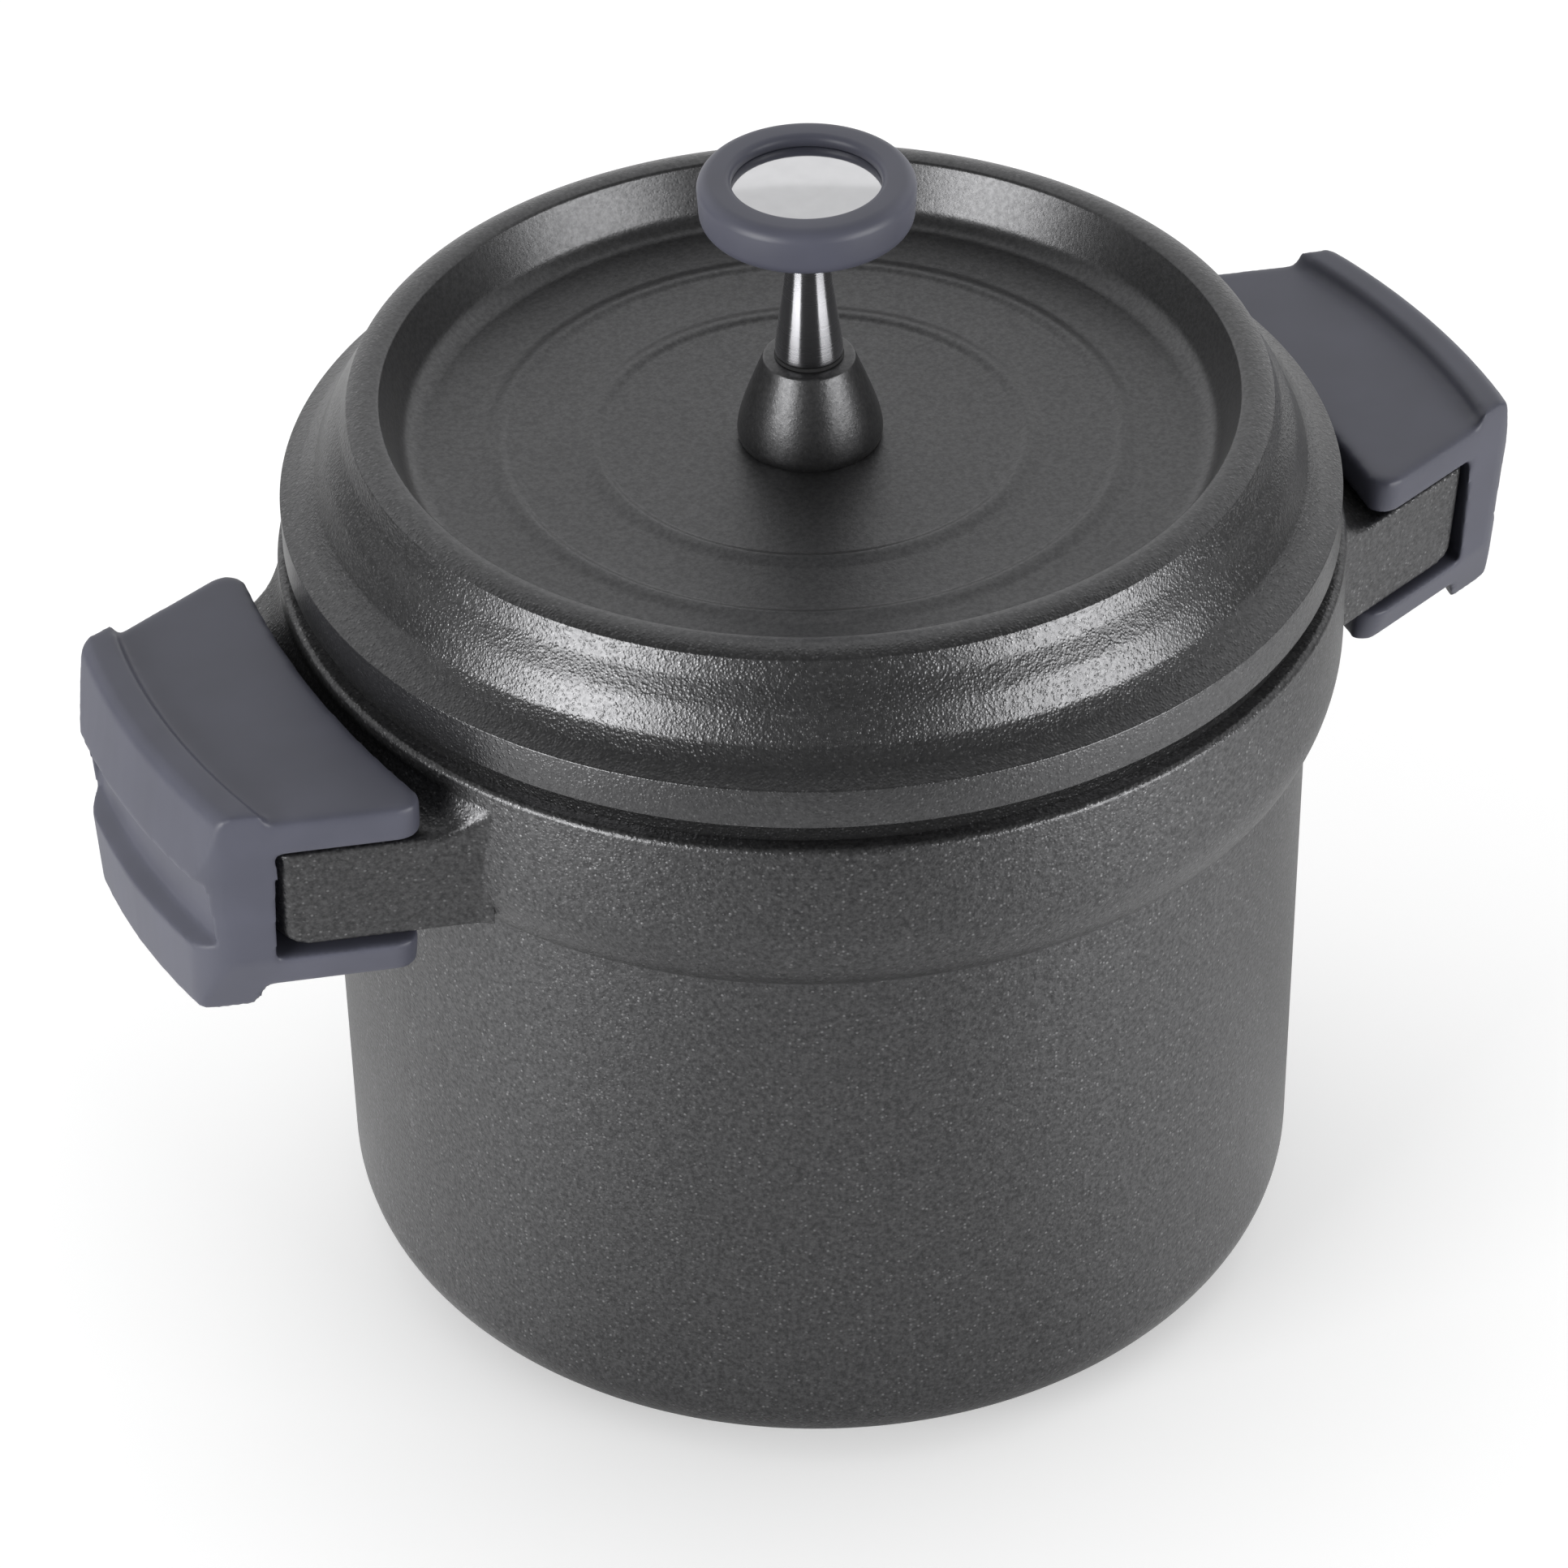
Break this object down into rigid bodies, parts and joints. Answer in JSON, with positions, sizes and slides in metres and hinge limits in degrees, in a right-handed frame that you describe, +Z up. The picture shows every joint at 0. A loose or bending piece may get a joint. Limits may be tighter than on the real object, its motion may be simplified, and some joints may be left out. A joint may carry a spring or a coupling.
{
  "type": "lidded stew pot",
  "caption": "Deep round cast stew pot with side lugs in slip-on heat-proof grips and a domed lid that is lifted by a round knob on a slim stem.",
  "frame": {"origin": "on the supporting surface, at the pot's upright axis", "axes": "+Z up along the pot's axis, +X through the middle of the right-hand grip, +Y towards the back"},
  "size_m": [0.3568, 0.2528, 0.2905],
  "materials": {
    "coating": "speckled dark grey non-stick coating on cast metal",
    "lid_coating": "speckled dark grey non-stick coating, a little glossier than the pot's",
    "base_steel": "turned steel",
    "polished_steel": "mirror polished",
    "bright_steel": "plain turned steel",
    "silicone": "matt blue-grey silicone rubber",
    "black_rubber": "matt black rubber"
  },
  "bodies": {
    "pot": {"pot_body": "coating", "heating_plate": "base_steel"},
    "lid": {"lid": "lid_coating", "stem_gasket": "black_rubber", "seal_washer": "black_rubber", "plain_washer": "bright_steel", "spring_washer": "bright_steel", "knob_screw": "bright_steel"},
    "knob": {"knob_stem": "polished_steel", "knob_head": "bright_steel", "head_screw": "bright_steel", "knob_ring": "silicone", "knob_disc": "polished_steel"},
    "left_grip": {"left_grip": "silicone"},
    "right_grip": {"right_grip": "silicone"}
  },
  "joints": [
    {"name": "lid_lift", "type": "slide", "parent": "pot", "child": "lid", "axis": [0, 0, 1], "range_m": [0, 0.12]},
    {"name": "knob_turn", "type": "hinge", "parent": "lid", "child": "knob", "pos_m": [0, 0, 0.243], "axis": [0, 0, 1], "range_deg": [0, 180]},
    {"name": "left_grip_pull", "type": "slide", "parent": "pot", "child": "left_grip", "axis": [-1, 0, 0], "range_m": [0, 0.045]},
    {"name": "right_grip_pull", "type": "slide", "parent": "pot", "child": "right_grip", "axis": [1, 0, 0], "range_m": [0, 0.045]}
  ]
}
